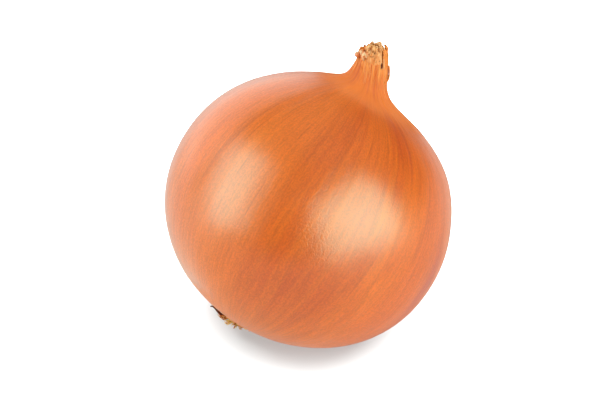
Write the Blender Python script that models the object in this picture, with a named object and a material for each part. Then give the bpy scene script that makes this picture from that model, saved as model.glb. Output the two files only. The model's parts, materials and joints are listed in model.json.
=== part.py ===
"""A dry brown onion, resting tilted on a small flat spot of its side.

The bulb is drawn upright in a frame of its own, with its axis along +Z and the middle of its height at
the origin. BULB_FRAME then leans it over towards +X and sets its flat spot on the plane z = 0, centred
on the origin of the scene.
"""

import math

import bmesh
import bpy
from mathutils import Matrix, Vector

# The bulb: a slightly squared ellipsoid of revolution.
BULB_RADIUS = 0.0400
BULB_HALF_HEIGHT = 0.0367
BULB_SQUARENESS = 2.08
BULB_TILT = math.radians(38)
FLAT_DEPTH = 0.0008
SEGMENTS = 64
BODY_RINGS = 30

# The root end: a corky pad inside a shallow groove, closed in by the lip of the skin.
PAD_RADIUS = 0.0048
PAD_HEIGHT = 0.0375
PAD_EDGE_HEIGHT = 0.0370
PAD_CROWN = 0.0001
GROOVE_RADIUS = 0.0058
GROOVE_HEIGHT = 0.0362
LIP_RADIUS = 0.0072

# The neck: it leaves the shoulder in a hollow curve and leans back towards the vertical.
SHOULDER_RADIUS = 0.0155
NECK_RADIUS = 0.0049
NECK_START = 0.0433
NECK_END = 0.0472
FILLET_BODY_HANDLE = 0.0045
FILLET_NECK_HANDLE = 0.0044
FILLET_RINGS = 9
NECK_RINGS = 3
RIM_RADIUS = 0.0043
DISH_RADIUS = 0.0036
DISH_DEPTH = 0.0009
LEAN_SLOPE = 0.58
LEAN_START = 0.026
LEAN_FULL = 0.036
RING_TURN = math.radians(14)
RING_TURN_START = 0.040
RING_TURN_FULL = 0.047

# The dry roots, which stand on the pad.
ROOT_COUNT = 7
ROOT_LENGTH = 0.0045
ROOT_RADIUS = 0.00050
ROOT_TIP_SHARE = 0.5
ROOT_POINTS = 8
ROOT_FACING = math.radians(134)
ROOT_GATHER = math.radians(28)

# The withered leaf ends, which stand in the dish of the neck, and the curl of torn skin beside them.
LEAF_THICKNESS = 0.0005
LEAF_LENGTH = 0.0024
LEAF_RADII = (0.0030, 0.0019, 0.0009)
LEAF_SPANS = (math.radians(140), math.radians(170), math.radians(190))
LEAF_FACINGS = (math.radians(252), math.radians(80), math.radians(300))
CURL_FACING = math.radians(134)
CURL_SPAN = math.radians(66)
CURL_RADIUS = 0.0030
CURL_RISE = 0.0014
CURL_ROLL_RADIUS = 0.0008
CURL_ROLL = math.radians(170)
CURL_THICKNESS = 0.0004

# Pieces that touch on the real onion keep this gap here.
GAP = 0.0003

SKIN_COLOUR = (0.66, 0.15, 0.034, 1)
LEAF_COLOUR = (0.80, 0.40, 0.14, 1)
ROOT_COLOUR = (0.34, 0.18, 0.065, 1)


def clear_scene():
    for obj in list(bpy.data.objects):
        bpy.data.objects.remove(obj, do_unlink=True)


def make_material(name, colour, roughness):
    material = bpy.data.materials.new(name)
    material.use_nodes = True
    shader = material.node_tree.nodes["Principled BSDF"]
    shader.inputs["Base Color"].default_value = colour
    shader.inputs["Roughness"].default_value = roughness
    shader.inputs["Metallic"].default_value = 0.0
    return material


def smooth_step(value, start, end):
    share = min(1.0, max(0.0, (value - start) / (end - start)))
    return share * share * (3 - 2 * share)


def body_point(angle):
    """(radius, height) on the bulb's outline, from the root pole at 0 to the neck pole at pi."""
    power = 2 / BULB_SQUARENESS
    across = math.sin(angle) ** power
    along = math.copysign(abs(math.cos(angle)) ** power, -math.cos(angle))
    return BULB_RADIUS * across, BULB_HALF_HEIGHT * along


def angle_at_radius(radius, upper):
    """The outline angle at which the bulb has this radius, in its lower or its upper half."""
    lower = math.asin((radius / BULB_RADIUS) ** (BULB_SQUARENESS / 2))
    return math.pi - lower if upper else lower


def bezier(points, share):
    """A point of a cubic Bezier curve in (radius, height)."""
    a, b, c, d = (Vector(p) for p in points)
    rest = 1 - share
    return a * rest**3 + b * 3 * rest**2 * share + c * 3 * rest * share**2 + d * share**3


def fillet_points():
    """The hollow curve from the shoulder up to the neck, without its first point."""
    angle = angle_at_radius(SHOULDER_RADIUS, upper=True)
    start = Vector(body_point(angle))
    along_body = (Vector(body_point(angle + 0.01)) - start).normalized()
    end = Vector((NECK_RADIUS, NECK_START))
    controls = (
        start,
        start + along_body * FILLET_BODY_HANDLE,
        end - Vector((0, FILLET_NECK_HANDLE)),
        end,
    )
    return [tuple(bezier(controls, k / FILLET_RINGS)) for k in range(1, FILLET_RINGS + 1)]


def bulb_outline():
    """(radius, height) pairs from the root end to the dish in the neck, both ends left open."""
    first = angle_at_radius(LIP_RADIUS, upper=False)
    last = angle_at_radius(SHOULDER_RADIUS, upper=True)
    pad = [
        (PAD_RADIUS * 0.5, -(PAD_HEIGHT + PAD_EDGE_HEIGHT) / 2 - PAD_CROWN),
        (PAD_RADIUS, -PAD_EDGE_HEIGHT),
        (GROOVE_RADIUS, -GROOVE_HEIGHT),
    ]
    body = [
        body_point(first + (last - first) * k / (BODY_RINGS - 1)) for k in range(BODY_RINGS)
    ]
    neck = [
        (NECK_RADIUS, NECK_START + (NECK_END - NECK_START) * k / NECK_RINGS)
        for k in range(1, NECK_RINGS + 1)
    ]
    rim = [
        (RIM_RADIUS, NECK_END + GAP),
        (DISH_RADIUS, NECK_END),
        (DISH_RADIUS * 0.9, NECK_END - DISH_DEPTH),
    ]
    return pad + body + fillet_points() + neck + rim


def neck_lean(height):
    """How far the neck's middle line has moved towards -X at this height."""
    if height < LEAN_START:
        return 0.0
    if height < LEAN_FULL:
        return LEAN_SLOPE * (height - LEAN_START) ** 2 / (2 * (LEAN_FULL - LEAN_START))
    return LEAN_SLOPE * (height - (LEAN_START + LEAN_FULL) / 2)


def bulb_surface(radius, height, angle):
    """The point of the leaning bulb that has this radius and height before the neck is bent."""
    turn = RING_TURN * smooth_step(height, RING_TURN_START, RING_TURN_FULL)
    across = radius * math.cos(angle)
    return Vector(
        (
            across * math.cos(turn) - neck_lean(height),
            radius * math.sin(angle),
            height + across * math.sin(turn),
        )
    )


def bulb_frame():
    """Carries the upright bulb to its tilted place, with its lowest point FLAT_DEPTH under z = 0."""
    across = BULB_RADIUS**2 * math.sin(BULB_TILT)
    along = BULB_HALF_HEIGHT**2 * math.cos(BULB_TILT)
    reach = math.hypot(BULB_RADIUS * math.sin(BULB_TILT), BULB_HALF_HEIGHT * math.cos(BULB_TILT))
    turned = Matrix.Rotation(BULB_TILT, 4, "Y")
    lowest = turned @ Vector((across / reach, 0, -along / reach))
    return Matrix.Translation((-lowest.x, 0, -lowest.z - FLAT_DEPTH)) @ turned


def add_object(name, data, material):
    obj = bpy.data.objects.new(name, data)
    obj.data.materials.append(material)
    bpy.context.scene.collection.objects.link(obj)
    return obj


def add_mesh(name, bm, material):
    """Makes an object from a bmesh, in smooth faces with a sharp edge wherever they turn by 40 degrees."""
    mesh = bpy.data.meshes.new(name)
    bm.to_mesh(mesh)
    bm.free()
    mesh.shade_smooth()
    mesh.set_sharp_from_angle(angle=math.radians(40))
    return add_object(name, mesh, material)


def cut_flat_spot(bm):
    """Takes off what hangs under z = 0 and closes the cut with one flat face."""
    everything = bm.verts[:] + bm.edges[:] + bm.faces[:]
    cut = bmesh.ops.bisect_plane(
        bm, geom=everything, dist=1e-7, plane_co=(0, 0, 0), plane_no=(0, 0, -1), clear_outer=True
    )
    rim = [e for e in cut["geom_cut"] if isinstance(e, bmesh.types.BMEdge)]
    bmesh.ops.contextual_create(bm, geom=rim)


def make_bulb(place, material):
    """The bulb with its neck, root pad and flat spot, as one closed solid."""
    bm = bmesh.new()
    rings = []
    for radius, height in bulb_outline():
        ring = [
            bm.verts.new(place @ bulb_surface(radius, height, math.tau * k / SEGMENTS))
            for k in range(SEGMENTS)
        ]
        rings.append(ring)
    for lower, upper in zip(rings, rings[1:]):
        for k in range(SEGMENTS):
            after = (k + 1) % SEGMENTS
            bm.faces.new((lower[k], lower[after], upper[after], upper[k]))
    root_pole = bm.verts.new(place @ bulb_surface(0, -PAD_HEIGHT, 0))
    neck_pole = bm.verts.new(place @ bulb_surface(0, NECK_END - DISH_DEPTH, 0))
    for k in range(SEGMENTS):
        after = (k + 1) % SEGMENTS
        bm.faces.new((rings[0][after], rings[0][k], root_pole))
        bm.faces.new((rings[-1][k], rings[-1][after], neck_pole))
    bmesh.ops.recalc_face_normals(bm, faces=bm.faces[:])
    cut_flat_spot(bm)
    bmesh.ops.recalc_face_normals(bm, faces=bm.faces[:])
    return add_mesh("bulb", bm, material)


def root_path(number):
    """A root's middle line: out of the pad, then bent over sideways. Most roots lie to one side."""
    angle = math.tau * number / ROOT_COUNT
    angle += ROOT_FACING - ROOT_GATHER * math.sin(angle)
    length = ROOT_LENGTH * (0.85 + 0.25 * math.cos(angle - ROOT_FACING))
    stand = PAD_RADIUS * (0.76 if number % 2 else 0.44)
    side = Vector((math.cos(angle), math.sin(angle), 0))
    around = Vector((-side.y, side.x, 0))
    start = side * stand + Vector((0, 0, -PAD_HEIGHT - GAP))
    points = []
    for k in range(ROOT_POINTS):
        share = k / (ROOT_POINTS - 1)
        outwards = length * 0.9 * share
        downwards = length * 0.22 * math.sin(share * math.radians(140))
        sideways = length * 0.12 * (math.sin(share * 3.8 + number) - math.sin(number))
        points.append(start + side * outwards + around * sideways - Vector((0, 0, downwards)))
    return points


def make_root(number, place, material):
    """One dry root: a bent tube that thins towards its tip."""
    name = f"root_{number + 1}"
    curve = bpy.data.curves.new(name, "CURVE")
    curve.dimensions = "3D"
    curve.bevel_depth = ROOT_RADIUS
    curve.bevel_resolution = 2
    curve.use_fill_caps = True
    spline = curve.splines.new("POLY")
    spline.points.add(ROOT_POINTS - 1)
    for k, point in enumerate(root_path(number)):
        spline.points[k].co = (*(place @ point), 1)
        spline.points[k].radius = 1 - (1 - ROOT_TIP_SHARE) * k / (ROOT_POINTS - 1)
    return add_object(name, curve, material)


def strip_faces(bm, rows):
    """Joins rows of points into a sheet of quads."""
    made = [[bm.verts.new(point) for point in row] for row in rows]
    for lower, upper in zip(made, made[1:]):
        for k in range(len(lower) - 1):
            bm.faces.new((lower[k], lower[k + 1], upper[k + 1], upper[k]))


def add_thickness(obj, thickness):
    solidify = obj.modifiers.new("Thickness", "SOLIDIFY")
    solidify.thickness = thickness
    solidify.offset = 0


def make_leaf_end(number, place, material):
    """A withered leaf end: a curved tongue in the dish of the neck, narrower towards its tip."""
    rows = []
    foot = NECK_END - DISH_DEPTH + GAP + LEAF_THICKNESS / 2
    columns = 10
    for level in range(6):
        share = level / 5
        span = LEAF_SPANS[number] * (1 - 0.55 * share**1.5)
        radius = LEAF_RADII[number] * (1 - 0.10 * share)
        height = foot + LEAF_LENGTH * (1 + 0.12 * number) * share
        angles = [LEAF_FACINGS[number] + span * (k / columns - 0.5) for k in range(columns + 1)]
        rows.append([place @ bulb_surface(radius, height, a) for a in angles])
    bm = bmesh.new()
    strip_faces(bm, rows)
    obj = add_mesh(f"leaf_end_{number + 1}", bm, material)
    add_thickness(obj, LEAF_THICKNESS)
    return obj


def make_skin_curl(place, material):
    """A torn strip of skin: it rises inside the rim of the neck and rolls over outwards."""
    rise_levels = 3
    roll_levels = 8
    columns = 7
    foot = NECK_END - DISH_DEPTH + GAP + CURL_THICKNESS / 2
    profile = [(CURL_RADIUS, foot + CURL_RISE * k / rise_levels) for k in range(rise_levels)]
    for k in range(roll_levels + 1):
        turned = CURL_ROLL * k / roll_levels
        outwards = CURL_ROLL_RADIUS * (1 - math.cos(turned))
        upwards = CURL_ROLL_RADIUS * math.sin(turned)
        profile.append((CURL_RADIUS + outwards, foot + CURL_RISE + upwards))
    rows = []
    for radius, height in profile:
        angles = [CURL_FACING + CURL_SPAN * (k / columns - 0.5) for k in range(columns + 1)]
        rows.append([place @ bulb_surface(radius, height, a) for a in angles])
    bm = bmesh.new()
    strip_faces(bm, rows)
    obj = add_mesh("skin_curl", bm, material)
    add_thickness(obj, CURL_THICKNESS)
    return obj


def main():
    clear_scene()
    skin = make_material("papery_skin", SKIN_COLOUR, 0.42)
    leaf = make_material("dry_leaf", LEAF_COLOUR, 0.75)
    root = make_material("dry_root", ROOT_COLOUR, 0.85)
    place = bulb_frame()
    make_bulb(place, skin)
    for number in range(ROOT_COUNT):
        make_root(number, place, root)
    for number in range(len(LEAF_RADII)):
        make_leaf_end(number, place, leaf)
    make_skin_curl(place, skin)


main()
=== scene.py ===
"""The looks of a dry brown onion, lying tilted on a pale floor.

Every piece of the bulb is drawn upright first, with the bulb's axis along +Z and the middle of its
height at the origin. settle() then bends the neck, leans the bulb over and sets it on the floor, in
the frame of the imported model. Tables of radii, heights and widths are in mm.
"""

import json
import math
from functools import partial

import bmesh
import bpy
import numpy as np
from mathutils import Matrix, Vector, noise
from mathutils.bvhtree import BVHTree

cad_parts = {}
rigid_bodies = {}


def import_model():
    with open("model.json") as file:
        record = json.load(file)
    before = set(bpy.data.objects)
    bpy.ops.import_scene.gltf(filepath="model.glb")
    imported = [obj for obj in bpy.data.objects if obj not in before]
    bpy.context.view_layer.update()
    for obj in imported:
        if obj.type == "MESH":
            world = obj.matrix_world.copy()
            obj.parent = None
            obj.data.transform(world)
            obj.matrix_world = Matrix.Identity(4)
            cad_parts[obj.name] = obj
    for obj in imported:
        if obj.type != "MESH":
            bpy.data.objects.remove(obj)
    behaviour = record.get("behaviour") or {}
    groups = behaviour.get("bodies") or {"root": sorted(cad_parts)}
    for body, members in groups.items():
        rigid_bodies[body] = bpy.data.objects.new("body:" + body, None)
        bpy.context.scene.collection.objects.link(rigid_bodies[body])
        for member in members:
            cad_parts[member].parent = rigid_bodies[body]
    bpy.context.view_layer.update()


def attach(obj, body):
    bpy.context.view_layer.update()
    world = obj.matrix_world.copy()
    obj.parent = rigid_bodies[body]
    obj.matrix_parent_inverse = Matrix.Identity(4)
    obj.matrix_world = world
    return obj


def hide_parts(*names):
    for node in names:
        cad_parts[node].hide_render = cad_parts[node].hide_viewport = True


bl_info = {
    "name": "Brown Onion",
    "version": (1, 0, 0),
    "blender": (4, 5, 0),
    "location": "3D View > Sidebar > Onion",
    "description": "Builds the skin, neck and roots of a dry brown onion around its packed model",
    "category": "Add Mesh",
}

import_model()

MM = 0.001
DOUBLES = 1e-7  # points closer than this are one point
MAP_LENGTH = 100.0  # mm of the outline in one unit of V on the skin's map
RING_RADIUS = 40.0  # mm, of the ring that the skin's patterns are drawn round
NECK_BEND = math.radians(14)  # the turn of the neck's end, which grows between the next two heights
BEND_START, BEND_END = 40 * MM, 47 * MM
ROOT_SIDE = math.radians(134)  # the direction round the axis in which the roots gather
GOLDEN_TURN = 360 * 0.618  # degrees from one thing to the next that spread them evenly in a disc


def rgb(hex_colour):
    """A linear colour from an sRGB one, written as six hexadecimal digits."""
    channels = [int(hex_colour[k : k + 2], 16) / 255 for k in (0, 2, 4)]
    linear = [c / 12.92 if c <= 0.04045 else ((c + 0.055) / 1.055) ** 2.4 for c in channels]
    return (*linear, 1.0)


# ---------------------------------------------------------------- sizes and colours


class OnionShape(bpy.types.PropertyGroup):
    """Sizes of the bulb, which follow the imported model."""

    radius: bpy.props.FloatProperty(
        name="Radius", description="Widest radius of the bulb", default=40 * MM, unit="LENGTH"
    )
    half_height: bpy.props.FloatProperty(
        name="Half height", description="From the middle to a pole", default=36.7 * MM, unit="LENGTH"
    )
    squareness: bpy.props.FloatProperty(
        name="Squareness", description="Exponent of the outline, 2 for an ellipse", default=2.08
    )
    tilt: bpy.props.FloatProperty(
        name="Tilt", description="Lean of the bulb's axis", default=math.radians(38), unit="ROTATION"
    )
    flat_depth: bpy.props.FloatProperty(
        name="Flat depth", description="How far the resting side is flattened",
        default=0.8 * MM, unit="LENGTH",
    )
    neck_radius: bpy.props.FloatProperty(
        name="Neck radius", description="Radius of the neck at its narrowest",
        default=4.8 * MM, unit="LENGTH",
    )
    neck_end: bpy.props.FloatProperty(
        name="Neck end", description="Height of the skin's torn edge at the neck",
        default=46.6 * MM, unit="LENGTH",
    )
    neck_slope: bpy.props.FloatProperty(
        name="Neck slope", description="How strongly the neck leans back upright", default=0.58
    )


class OnionSkin(bpy.types.PropertyGroup):
    """Relief and colours of the papery outer skin."""

    segments: bpy.props.IntProperty(
        name="Segments", description="Mesh columns round the bulb", default=340, min=32
    )
    rib_depth: bpy.props.FloatProperty(
        name="Rib depth", description="Height of the fine ribs that run from root to neck",
        default=0.09 * MM, unit="LENGTH",
    )
    swell_depth: bpy.props.FloatProperty(
        name="Swell depth", description="Height of the broad unevenness of the bulb",
        default=0.35 * MM, unit="LENGTH",
    )
    pleat_depth: bpy.props.FloatProperty(
        name="Pleat depth", description="Depth of the folds that gather at the neck",
        default=0.42 * MM, unit="LENGTH",
    )
    ragged: bpy.props.FloatProperty(
        name="Ragged edge", description="How unevenly the skin ends at the neck",
        default=2.2 * MM, unit="LENGTH",
    )
    shoulder: bpy.props.FloatProperty(
        name="Shoulder", description="How much wider the foot of the neck is on one side",
        default=1.2 * MM, unit="LENGTH",
    )
    shoulder_facing: bpy.props.FloatProperty(
        name="Shoulder facing", description="The side of the wider foot of the neck",
        default=math.radians(140), unit="ROTATION",
    )
    fullness: bpy.props.FloatProperty(
        name="Fullness", description="How far the upper half swells out on one side",
        default=0.9 * MM, unit="LENGTH",
    )
    full_facing: bpy.props.FloatProperty(
        name="Full facing", description="The side on which the upper half is fuller",
        default=math.radians(326), unit="ROTATION",
    )
    vein_gap: bpy.props.FloatProperty(
        name="Vein gap", description="Distance between veins at the widest place",
        default=4.0 * MM, unit="LENGTH",
    )
    seed: bpy.props.IntProperty(name="Seed", description="Changes every random draw", default=4)
    colour: bpy.props.FloatVectorProperty(
        name="Colour", description="Deep orange brown of the skin",
        default=rgb("CA5306"), size=4, min=0, max=1, subtype="COLOR",
    )
    # Also painted light: this colour lightens the side of the skin towards the left lamps.
    pale_and_lit_colour: bpy.props.FloatVectorProperty(
        name="Light colour", description="Lighter patches of the skin",
        default=rgb("E87718"), size=4, min=0, max=1, subtype="COLOR",
    )
    vein_colour: bpy.props.FloatVectorProperty(
        name="Vein colour", description="Veins from root to neck",
        default=rgb("AC460A"), size=4, min=0, max=1, subtype="COLOR",
    )
    neck_colour: bpy.props.FloatVectorProperty(
        name="Neck colour", description="Straw colour that runs down the neck",
        default=rgb("FFA444"), size=4, min=0, max=1, subtype="COLOR",
    )


class OnionEnds(bpy.types.PropertyGroup):
    """Sizes and colours of the withered neck and of the root end."""

    tatter_count: bpy.props.IntProperty(
        name="Tatters", description="Torn leaf strips on the neck's far side", default=11, min=1
    )
    wad_count: bpy.props.IntProperty(
        name="Wads", description="Crumpled inner leaves in the end of the neck", default=20, min=1
    )
    tatter_thickness: bpy.props.FloatProperty(
        name="Tatter thickness", description="Thickness of a dried leaf strip",
        default=0.16 * MM, unit="LENGTH",
    )
    leaf_colour: bpy.props.FloatVectorProperty(
        name="Leaf colour", description="Palest colour of the withered leaves",
        default=rgb("FFD492"), size=4, min=0, max=1, subtype="COLOR",
    )
    fibre_count: bpy.props.IntProperty(
        name="Neck fibres", description="Pale fibres that run down the neck", default=90, min=1
    )
    plate_radius: bpy.props.FloatProperty(
        name="Root plate radius", description="Radius of the corky root plate",
        default=5.4 * MM, unit="LENGTH",
    )
    root_count: bpy.props.IntProperty(
        name="Roots", description="Dried root fibres in the tuft", default=130, min=1
    )
    root_length: bpy.props.FloatProperty(
        name="Root length", description="Length of the longest fibre", default=4.6 * MM, unit="LENGTH"
    )
    root_thickness: bpy.props.FloatProperty(
        name="Root thickness", description="Diameter of a fibre at its foot",
        default=0.42 * MM, unit="LENGTH",
    )
    root_colour: bpy.props.FloatVectorProperty(
        name="Root colour", description="Tan of the dried roots",
        default=rgb("C46A30"), size=4, min=0, max=1, subtype="COLOR",
    )


class OnionStage(bpy.types.PropertyGroup):
    """The place of the camera."""

    azimuth: bpy.props.FloatProperty(
        name="Azimuth", description="Direction the camera looks in, 0 along +Y",
        default=math.radians(-34), unit="ROTATION",
    )
    elevation: bpy.props.FloatProperty(
        name="Elevation", description="Height of the camera above the horizon",
        default=math.radians(35), unit="ROTATION",
    )
    distance: bpy.props.FloatProperty(
        name="Distance", description="From the camera to the bulb", default=0.4709, unit="LENGTH"
    )


def settings():
    return bpy.context.scene.onion


# ---------------------------------------------------------------- nodes


def add_node(tree, kind, inputs=(), **properties):
    """Adds a node with these properties and inputs.

    The inputs are a list in the node's own order, or a dictionary by name or number. A socket or the
    first output of a node is linked, and anything else is set as the input's value.
    """
    node = tree.nodes.new(kind)
    for name, value in properties.items():
        setattr(node, name, value)
    by_key = inputs if isinstance(inputs, dict) else dict(enumerate(inputs))
    for key, value in by_key.items():
        if isinstance(value, bpy.types.Node):
            value = value.outputs[0]
        if isinstance(value, bpy.types.NodeSocket):
            tree.links.new(value, node.inputs[key])
        else:
            node.inputs[key].default_value = value
    return node


def product(tree, *fields):
    """The product of some fields, which says how strongly something shows.

    A field is a number or an output, or (output, low, high, at_low, at_high) for one that is taken
    smoothly from one range to another and held at its ends. The last two are 0 and 1 if left out.
    """
    result = None
    for field in fields:
        if isinstance(field, tuple):
            value, low, high, *ends = field
            limits = [value, low, high, *(ends or (0.0, 1.0))]
            field = add_node(tree, "ShaderNodeMapRange", limits, interpolation_type="SMOOTHSTEP")
        if result is not None:
            field = add_node(tree, "ShaderNodeMath", [result, field], operation="MULTIPLY")
        result = field
    return result


def tinted(tree, colour, tint, *fields):
    """The colour, turned to the tint where the product of these fields is high."""
    inputs = {0: product(tree, *fields), 6: colour, 7: tint}
    return add_node(tree, "ShaderNodeMix", inputs, data_type="RGBA").outputs[2]


def round_axis(tree, radius, angle, height):
    """The point this far from the Z axis, at this angle round it and at this height."""
    sides = [
        product(tree, add_node(tree, "ShaderNodeMath", [angle], operation=side), radius)
        for side in ("COSINE", "SINE")
    ]
    return add_node(tree, "ShaderNodeCombineXYZ", [*sides, height])


def new_geometry_tree(name, inputs):
    """A Geometry Nodes tree with a geometry in and out and these inputs, and its input node."""
    tree = bpy.data.node_groups.new(name, "GeometryNodeTree")
    tree.interface.new_socket("Geometry", in_out="OUTPUT", socket_type="NodeSocketGeometry")
    for label, kind in (("Geometry", "Geometry"), *inputs):
        tree.interface.new_socket(label, in_out="INPUT", socket_type="NodeSocket" + kind)
    return tree, add_node(tree, "NodeGroupInput")


def finish_tree(tree, given, geometry):
    """Ends a tree with smooth faces, its material and real geometry."""
    smooth = add_node(tree, "GeometryNodeSetShadeSmooth", {"Geometry": geometry})
    coat = {"Geometry": smooth, "Material": given.outputs["Material"]}
    coated = add_node(tree, "GeometryNodeSetMaterial", coat)
    real = add_node(tree, "GeometryNodeRealizeInstances", [coated])
    add_node(tree, "NodeGroupOutput", [real])
    return tree


def new_material(name):
    """An empty node material, and its tree."""
    material = bpy.data.materials.new(name)
    material.use_nodes = True
    material.node_tree.nodes.clear()
    return material, material.node_tree


def finish_material(tree, inputs, bump=None):
    """Ends a material with a surface that has these inputs and a bump (strength, mm high, field)."""
    if bump:
        strength, high, field = bump
        relief = {"Strength": strength, "Distance": high * MM, "Height": field}
        inputs["Normal"] = add_node(tree, "ShaderNodeBump", relief)
    shader = add_node(tree, "ShaderNodeBsdfPrincipled", inputs)
    add_node(tree, "ShaderNodeOutputMaterial", {"Surface": shader})


# ---------------------------------------------------------------- meshes and pieces


def put_in_scene(name, data):
    placed = bpy.data.objects.new(name, data)
    bpy.context.scene.collection.objects.link(placed)
    return placed


def add_piece(name, mesh, material, replaced=()):
    """Puts a finished mesh in the scene as a piece of the onion."""
    mesh.name = name
    piece = put_in_scene(name, mesh)
    piece.data.materials.clear()
    piece.data.materials.append(material)
    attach(piece, "root")
    if replaced:
        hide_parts(*replaced)


def evaluated_mesh(holder):
    """The plain mesh that an object's modifiers make of it. The object is removed."""
    graph = bpy.context.evaluated_depsgraph_get()
    mesh = bpy.data.meshes.new_from_object(holder.evaluated_get(graph))
    bpy.data.objects.remove(holder)
    return mesh


def run_tree(tree, source, values):
    """The plain mesh that a Geometry Nodes tree makes of a mesh, with these values for its inputs."""
    holder = put_in_scene("holder", source)
    modifier = holder.modifiers.new("Build", "NODES")
    modifier.node_group = tree
    for item in tree.interface.items_tree:
        if item.in_out == "INPUT" and item.name in values:
            modifier[item.identifier] = values[item.name]
    return evaluated_mesh(holder)


def close_up(mesh, merge=0.0):
    """Merges doubles if asked to, points the faces outwards and shades them smooth."""
    bm = bmesh.new()
    bm.from_mesh(mesh)
    if merge:
        bmesh.ops.remove_doubles(bm, verts=bm.verts[:], dist=merge)
        bmesh.ops.dissolve_degenerate(bm, edges=bm.edges[:], dist=merge)
    bmesh.ops.recalc_face_normals(bm, faces=bm.faces[:])
    bm.to_mesh(mesh)
    bm.free()
    mesh.shade_smooth()
    return mesh


def sheet_mesh(grids, shades, thickness):
    """One mesh of several thin sheets, each an array of rows x columns x 3 with its own shade."""
    bm = bmesh.new()
    map_layer = bm.loops.layers.uv.new("UVMap")
    shade_layer = bm.verts.layers.float.new("shade")
    for grid, shade in zip(grids, shades):
        rows, columns = grid.shape[:2]
        verts = [[bm.verts.new(point) for point in row] for row in grid]
        for vert in sum(verts, []):
            vert[shade_layer] = shade
        for i in range(rows - 1):
            for j in range(columns - 1):
                corners = ((i, j), (i, j + 1), (i + 1, j + 1), (i + 1, j))
                face = bm.faces.new([verts[a][b] for a, b in corners])
                for loop, (a, b) in zip(face.loops, corners):
                    loop[map_layer].uv = (b / (columns - 1), a / (rows - 1))
    mesh = bpy.data.meshes.new("sheets")
    bm.to_mesh(mesh)
    bm.free()
    holder = put_in_scene("holder", mesh)
    solidify = holder.modifiers.new("Thickness", "SOLIDIFY")
    solidify.thickness = thickness
    solidify.offset = 0
    solidify.use_even_offset = False
    return close_up(evaluated_mesh(holder))


def lumpy_dome(lump, profile, radius, rings, columns, floor, turn=1):
    """A closed mesh, in mm, of rings of points from a pole outwards that end on a flat floor.

    Its height is the profile of the share of the radius and of the lump at each place. With turn -1
    the dome is mirrored.
    """
    share = np.linspace(0, 1, rings)[:, None]
    angle = np.linspace(0, math.tau, columns, endpoint=False)
    across, aside = radius * share * np.cos(angle), radius * share * np.sin(angle)
    height = profile(share, np.vectorize(lump)(across, aside))
    points = np.stack([across, turn * aside, height], axis=-1) * MM
    foot = points[-1].copy()
    foot[:, 2] = floor * MM

    bm = bmesh.new()
    pole = bm.verts.new(points[0, 0])
    rows = [[bm.verts.new(point) for point in ring] for ring in (*points[1:], foot)]
    for j in range(columns):
        after = (j + 1) % columns
        bm.faces.new((pole, rows[0][j], rows[0][after]))
        for low, high in zip(rows, rows[1:]):
            bm.faces.new((low[j], high[j], high[after], low[after]))
    bm.faces.new(rows[-1][::-1])
    mesh = bpy.data.meshes.new("dome")
    bm.to_mesh(mesh)
    bm.free()
    return close_up(mesh)


# ---------------------------------------------------------------- the bulb's shape


def smooth_step(value, start, end):
    share = np.clip((value - start) / (end - start), 0, 1)
    return share * share * (3 - 2 * share)


def neck_lean(height):
    """How far the neck's middle line has moved towards -X, at these heights."""
    start, full = 26 * MM, 36 * MM
    above = np.maximum(height - start, 0)
    bent = np.minimum(above, full - start)
    return settings().shape.neck_slope * (bent**2 / (2 * (full - start)) + above - bent)


def with_bent_neck(points):
    """Upright points, one in each row, once the neck is bent and before the bulb is tilted."""
    across, aside, height = points.T
    turn = NECK_BEND * smooth_step(height, BEND_START, BEND_END)
    moved = across * np.cos(turn) - neck_lean(height)
    return np.stack([moved, aside, height + across * np.sin(turn)], axis=1)


def bulb_frame():
    """Carries the upright bulb to its tilted place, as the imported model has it."""
    shape = settings().shape
    sine, cosine = math.sin(shape.tilt), math.cos(shape.tilt)
    reach = math.hypot(shape.radius * sine, shape.half_height * cosine)
    turned = Matrix.Rotation(shape.tilt, 4, "Y")
    lowest = turned @ Vector(
        (shape.radius**2 * sine / reach, 0, -(shape.half_height**2) * cosine / reach)
    )
    return Matrix.Translation((-lowest.x, 0, -lowest.z - shape.flat_depth)) @ turned


def settle(mesh):
    """Bends the neck of an upright mesh, tilts it and rests it on the floor."""
    points = np.empty(len(mesh.vertices) * 3)
    mesh.vertices.foreach_get("co", points)
    place = np.array(bulb_frame())
    points = with_bent_neck(points.reshape(-1, 3)) @ place[:3, :3].T + place[:3, 3]
    points[:, 2] = np.maximum(points[:, 2], 0)
    mesh.vertices.foreach_set("co", points.ravel())
    mesh.update()
    return mesh


def body_point(angle):
    """(radius, height) on the bulb's outline, from the root pole at 0 to the neck pole at pi."""
    shape = settings().shape
    power = 2 / shape.squareness
    across = math.sin(angle) ** power
    along = math.copysign(abs(math.cos(angle)) ** power, -math.cos(angle))
    return shape.radius * across, shape.half_height * along


def angle_at_radius(radius):
    """The angle of the outline's point this far from the axis, in the lower half."""
    shape = settings().shape
    return math.asin((radius / shape.radius) ** (shape.squareness / 2))


def bezier(a, b, c, d, count):
    """Points of a cubic Bezier curve, without its first one."""
    share = np.linspace(0, 1, count + 1)[1:, None]
    rest = 1 - share
    return a * rest**3 + 3 * b * rest**2 * share + 3 * c * rest * share**2 + d * share**3


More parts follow.
